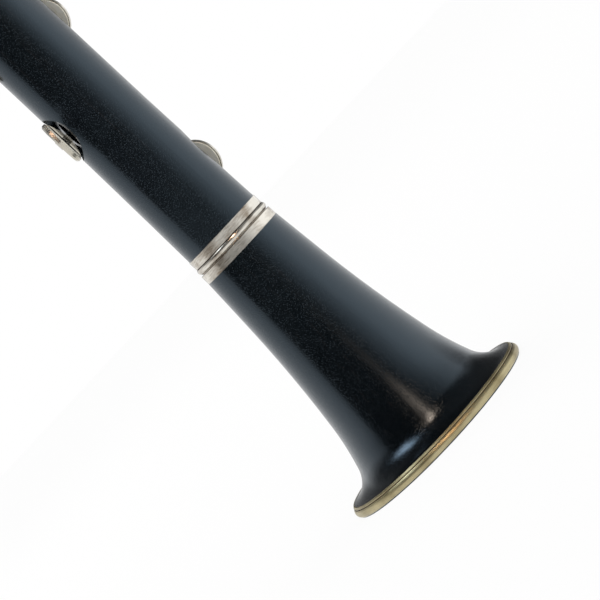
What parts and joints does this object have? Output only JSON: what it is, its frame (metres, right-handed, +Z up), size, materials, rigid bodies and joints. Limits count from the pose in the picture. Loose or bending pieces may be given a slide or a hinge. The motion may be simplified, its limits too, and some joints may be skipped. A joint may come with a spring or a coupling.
{
  "type": "clarinet",
  "caption": "Boehm-system soprano clarinet of dark wood with nickel-plated keys, standing on its bell; the keys, rings and levers turn and the barrel slides.",
  "frame": {"origin": "centre of the bell mouth, on the surface that the instrument stands on", "axes": "+Z up the bore to the mouthpiece tip, -Y towards the finger holes and keys, +X towards the player's left"},
  "size_m": [0.079, 0.079, 0.6589],
  "materials": {
    "blackwood": "oiled and polished dark wood",
    "ebonite": "polished hard rubber",
    "key_nickel": "polished nickel plate",
    "ring_nickel_silver": "worn nickel silver",
    "rim_nickel_silver": "tarnished nickel silver",
    "spring_steel": "blued steel",
    "cork": "sanded cork",
    "pad_skin": "white skin over felt",
    "cane": "cut cane"
  },
  "bodies": {
    "root": {"bell": "blackwood", "bell_rim_ring": "rim_nickel_silver", "bell_socket_ring": "ring_nickel_silver", "lower_joint_rings": "ring_nickel_silver", "tenon_corks": "cork", "lower_joint": "blackwood", "upper_joint": "blackwood", "hinge_posts": "key_nickel", "pivot_screws": "spring_steel", "key_saddles": "key_nickel", "saddle_pins": "spring_steel", "thumb_rest": "key_nickel"},
    "headpiece": {"barrel": "blackwood", "barrel_rings": "ring_nickel_silver", "mouthpiece": "ebonite", "mouthpiece_cork": "cork", "reed": "cane", "ligature": "ring_nickel_silver"},
    "ligature_screw_lower_body": {"ligature_screw_lower": "ring_nickel_silver"},
    "ligature_screw_upper_body": {"ligature_screw_upper": "ring_nickel_silver"},
    "low_e_key_body": {"low_e_key": "key_nickel", "low_e_key_pad": "pad_skin"},
    "low_f_sharp_key_body": {"low_f_sharp_key": "key_nickel", "low_f_sharp_key_pad": "pad_skin"},
    "low_f_key_body": {"low_f_key": "key_nickel", "low_f_key_pad": "pad_skin"},
    "low_f_lever_body": {"low_f_lever": "key_nickel"},
    "left_e_lever_body": {"left_e_lever": "key_nickel"},
    "left_f_sharp_lever_body": {"left_f_sharp_lever": "key_nickel"},
    "a_flat_key_body": {"a_flat_key": "key_nickel", "a_flat_key_pad": "pad_skin"},
    "right_hand_ring_key_body": {"right_hand_ring_key": "key_nickel", "right_hand_ring_key_pad": "pad_skin"},
    "b_sliver_key_body": {"b_sliver_key": "key_nickel", "b_sliver_key_pad": "pad_skin"},
    "e_flat_sliver_key_body": {"e_flat_sliver_key": "key_nickel", "e_flat_sliver_key_pad": "pad_skin"},
    "c_sharp_key_body": {"c_sharp_key": "key_nickel", "c_sharp_key_pad": "pad_skin"},
    "middle_ring_key_body": {"middle_ring_key": "key_nickel", "middle_ring_key_pad": "pad_skin"},
    "first_ring_key_body": {"first_ring_key": "key_nickel", "first_ring_key_pad": "pad_skin"},
    "thumb_ring_key_body": {"thumb_ring_key": "key_nickel", "thumb_ring_key_pad": "pad_skin"},
    "register_key_body": {"register_key": "key_nickel", "register_key_pad": "pad_skin"},
    "throat_a_key_body": {"throat_a_key": "key_nickel", "throat_a_key_pad": "pad_skin"},
    "throat_g_sharp_key_body": {"throat_g_sharp_key": "key_nickel", "throat_g_sharp_key_pad": "pad_skin"},
    "side_key_1_body": {"side_key_1": "key_nickel", "side_key_1_pad": "pad_skin"},
    "side_key_2_body": {"side_key_2": "key_nickel", "side_key_2_pad": "pad_skin"},
    "side_key_3_body": {"side_key_3": "key_nickel", "side_key_3_pad": "pad_skin"},
    "side_key_4_body": {"side_key_4": "key_nickel", "side_key_4_pad": "pad_skin"}
  },
  "joints": [
    {"name": "low_e_key_turn", "type": "hinge", "parent": "root", "child": "low_e_key_body", "pos_m": [0.00797, -0.01791, 0.11], "axis": [0, 0, 1], "range_deg": [-14, 0], "stiffness_Nm_per_rad": 0.01, "springref_deg": 22.92},
    {"name": "low_f_sharp_key_turn", "type": "hinge", "parent": "root", "child": "low_f_sharp_key_body", "pos_m": [0.00273, -0.01941, 0.1795], "axis": [0, 0, 1], "range_deg": [-13, 0], "stiffness_Nm_per_rad": 0.01, "springref_deg": 22.92},
    {"name": "low_f_key_turn", "type": "hinge", "parent": "root", "child": "low_f_key_body", "pos_m": [0.0126, -0.01501, 0.147], "axis": [0, 0, 1], "range_deg": [0, 9], "stiffness_Nm_per_rad": 0.01, "springref_deg": -22.92},
    {"name": "low_f_lever_turn", "type": "hinge", "parent": "root", "child": "low_f_lever_body", "pos_m": [0.00797, -0.01791, 0.2134], "axis": [0, 0, 1], "range_deg": [-9, 0], "stiffness_Nm_per_rad": 0.01, "springref_deg": 22.92},
    {"name": "left_e_lever_turn", "type": "hinge", "parent": "root", "child": "left_e_lever_body", "pos_m": [0.01762, -0.00859, 0.2001], "axis": [0, 0, 1], "range_deg": [0, 24], "stiffness_Nm_per_rad": 0.01, "springref_deg": -22.92},
    {"name": "left_f_sharp_lever_turn", "type": "hinge", "parent": "root", "child": "left_f_sharp_lever_body", "pos_m": [0.01959, -0.00068, 0.19], "axis": [0, 0, 1], "range_deg": [0, 15], "stiffness_Nm_per_rad": 0.01, "springref_deg": -22.92},
    {"name": "a_flat_key_turn", "type": "hinge", "parent": "root", "child": "a_flat_key_body", "pos_m": [-0.01584, -0.00842, 0.2298], "axis": [0.4695, -0.8829, 0], "range_deg": [0, 8.5], "stiffness_Nm_per_rad": 0.01, "springref_deg": -22.92},
    {"name": "right_hand_ring_key_turn", "type": "hinge", "parent": "root", "child": "right_hand_ring_key_body", "pos_m": [-0.01311, -0.01457, 0.234], "axis": [0, 0, 1], "range_deg": [0, 7], "stiffness_Nm_per_rad": 0.01, "springref_deg": -22.92},
    {"name": "b_sliver_key_turn", "type": "hinge", "parent": "root", "child": "b_sliver_key_body", "pos_m": [-0.01762, -0.00859, 0.256], "axis": [0, 0, 1], "range_deg": [0, 10], "stiffness_Nm_per_rad": 0.01, "springref_deg": -22.92},
    {"name": "e_flat_sliver_key_turn", "type": "hinge", "parent": "root", "child": "e_flat_sliver_key_body", "pos_m": [-0.0169, -0.00824, 0.341], "axis": [0, 0, 1], "range_deg": [0, 10], "stiffness_Nm_per_rad": 0.01, "springref_deg": -22.92},
    {"name": "c_sharp_key_turn", "type": "hinge", "parent": "root", "child": "c_sharp_key_body", "pos_m": [0.01352, -0.01306, 0.337], "axis": [0, 0, 1], "range_deg": [0, 12], "stiffness_Nm_per_rad": 0.01, "springref_deg": -22.92},
    {"name": "middle_ring_key_turn", "type": "hinge", "parent": "root", "child": "middle_ring_key_body", "pos_m": [-0.01258, -0.01397, 0.336], "axis": [0, 0, 1], "range_deg": [0, 7], "stiffness_Nm_per_rad": 0.01, "springref_deg": -22.92},
    {"name": "first_ring_key_turn", "type": "hinge", "parent": "root", "child": "first_ring_key_body", "pos_m": [-0.01258, -0.01397, 0.402], "axis": [0, 0, 1], "range_deg": [0, 7], "stiffness_Nm_per_rad": 0.01, "springref_deg": -22.92},
    {"name": "thumb_ring_key_turn", "type": "hinge", "parent": "root", "child": "thumb_ring_key_body", "pos_m": [0.01258, 0.01397, 0.3985], "axis": [0, 0, 1], "range_deg": [0, 7], "stiffness_Nm_per_rad": 0.01, "springref_deg": -22.92},
    {"name": "register_key_turn", "type": "hinge", "parent": "root", "child": "register_key_body", "pos_m": [0, 0.017, 0.455], "axis": [-1, 0, 0], "range_deg": [0, 3.5], "stiffness_Nm_per_rad": 0.01, "springref_deg": -22.92},
    {"name": "throat_a_key_turn", "type": "hinge", "parent": "root", "child": "throat_a_key_body", "pos_m": [0.00119, -0.01697, 0.4535], "axis": [0.9976, 0.0698, 0], "range_deg": [0, 7], "stiffness_Nm_per_rad": 0.01, "springref_deg": -22.92},
    {"name": "throat_g_sharp_key_turn", "type": "hinge", "parent": "root", "child": "throat_g_sharp_key_body", "pos_m": [0.01001, -0.01378, 0.444], "axis": [0.809, 0.5878, 0], "range_deg": [0, 9], "stiffness_Nm_per_rad": 0.01, "springref_deg": -22.92},
    {"name": "side_key_1_turn", "type": "hinge", "parent": "root", "child": "side_key_1_body", "pos_m": [-0.01659, -0.00414, 0.425], "axis": [0.2419, -0.9703, 0], "range_deg": [0, 4.5], "stiffness_Nm_per_rad": 0.01, "springref_deg": -22.92},
    {"name": "side_key_2_turn", "type": "hinge", "parent": "root", "child": "side_key_2_body", "pos_m": [-0.01627, 0.00497, 0.452], "axis": [-0.2924, -0.9563, 0], "range_deg": [0, 3], "stiffness_Nm_per_rad": 0.01, "springref_deg": -22.92},
    {"name": "side_key_3_turn", "type": "hinge", "parent": "root", "child": "side_key_3_body", "pos_m": [-0.01705, 0, 0.44], "axis": [0, -1, 0], "range_deg": [0, 4.5], "stiffness_Nm_per_rad": 0.01, "springref_deg": -22.92},
    {"name": "side_key_4_turn", "type": "hinge", "parent": "root", "child": "side_key_4_body", "pos_m": [-0.01434, 0.00931, 0.425], "axis": [-0.5446, -0.8387, 0], "range_deg": [0, 4.5], "stiffness_Nm_per_rad": 0.01, "springref_deg": -22.92},
    {"name": "tuning_slide", "type": "slide", "parent": "root", "child": "headpiece", "axis": [0, 0, 1], "range_m": [0, 0.002]},
    {"name": "ligature_screw_lower_turn", "type": "hinge", "parent": "headpiece", "child": "ligature_screw_lower_body", "pos_m": [0, 0.0159, 0.60096], "axis": [1, 0, 0], "range_deg": [-360, 360]},
    {"name": "ligature_screw_upper_turn", "type": "hinge", "parent": "headpiece", "child": "ligature_screw_upper_body", "pos_m": [0, 0.0159, 0.61104], "axis": [1, 0, 0], "range_deg": [-360, 360]}
  ],
  "couplings": [
    {"joint": "low_f_lever_turn", "follows": "low_f_key_turn", "ratio": -1},
    {"joint": "left_e_lever_turn", "follows": "low_e_key_turn", "ratio": -1.7143},
    {"joint": "left_f_sharp_lever_turn", "follows": "low_f_sharp_key_turn", "ratio": -1.1538},
    {"joint": "middle_ring_key_turn", "follows": "right_hand_ring_key_turn", "ratio": 1}
  ]
}
